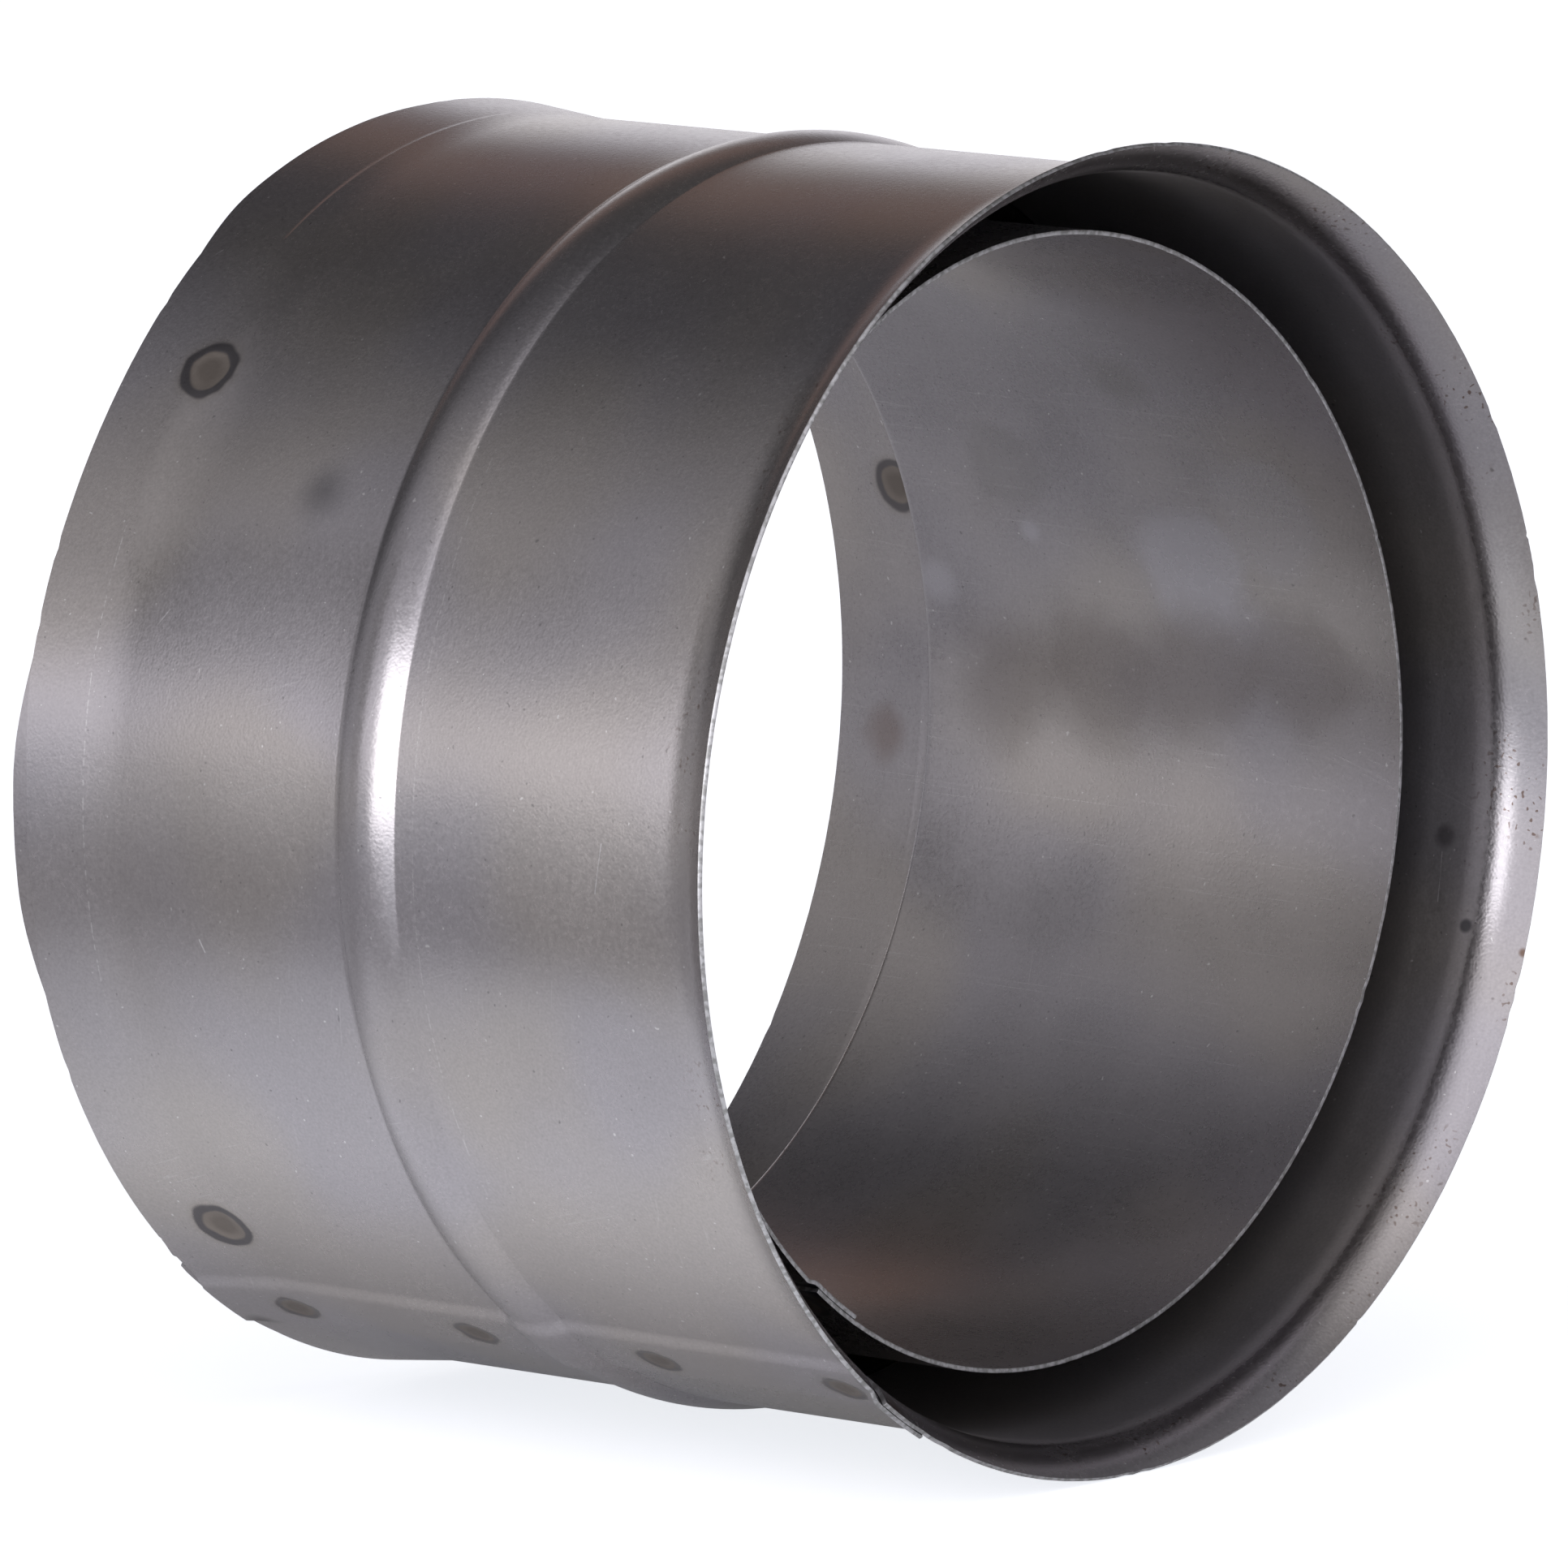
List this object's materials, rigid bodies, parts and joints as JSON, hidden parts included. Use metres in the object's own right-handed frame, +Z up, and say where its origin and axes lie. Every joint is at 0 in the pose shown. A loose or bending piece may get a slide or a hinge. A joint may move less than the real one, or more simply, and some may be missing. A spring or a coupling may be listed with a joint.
{
  "type": "flue wall thimble",
  "caption": "Double-walled steel wall sleeve for a flue pipe, with a rolled bead, a turned-out lip at the mouth and lap-welded seams.",
  "frame": {"origin": "centre of the inner sleeve's front edge, on the tubes' common axis", "axes": "-Y points out of the mouth into the room, +Y into the wall, and +Z is up as in the picture"},
  "size_m": [0.18, 0.1243, 0.18],
  "materials": {
    "outer_steel": "bare cold-rolled sheet, dull satin, with heat-tinted spot welds",
    "inner_steel": "bare cold-rolled sheet, dull satin, stained and scratched inside"
  },
  "bodies": {
    "root": {"outer_sleeve": "outer_steel", "inner_sleeve": "inner_steel"}
  },
  "joints": []
}
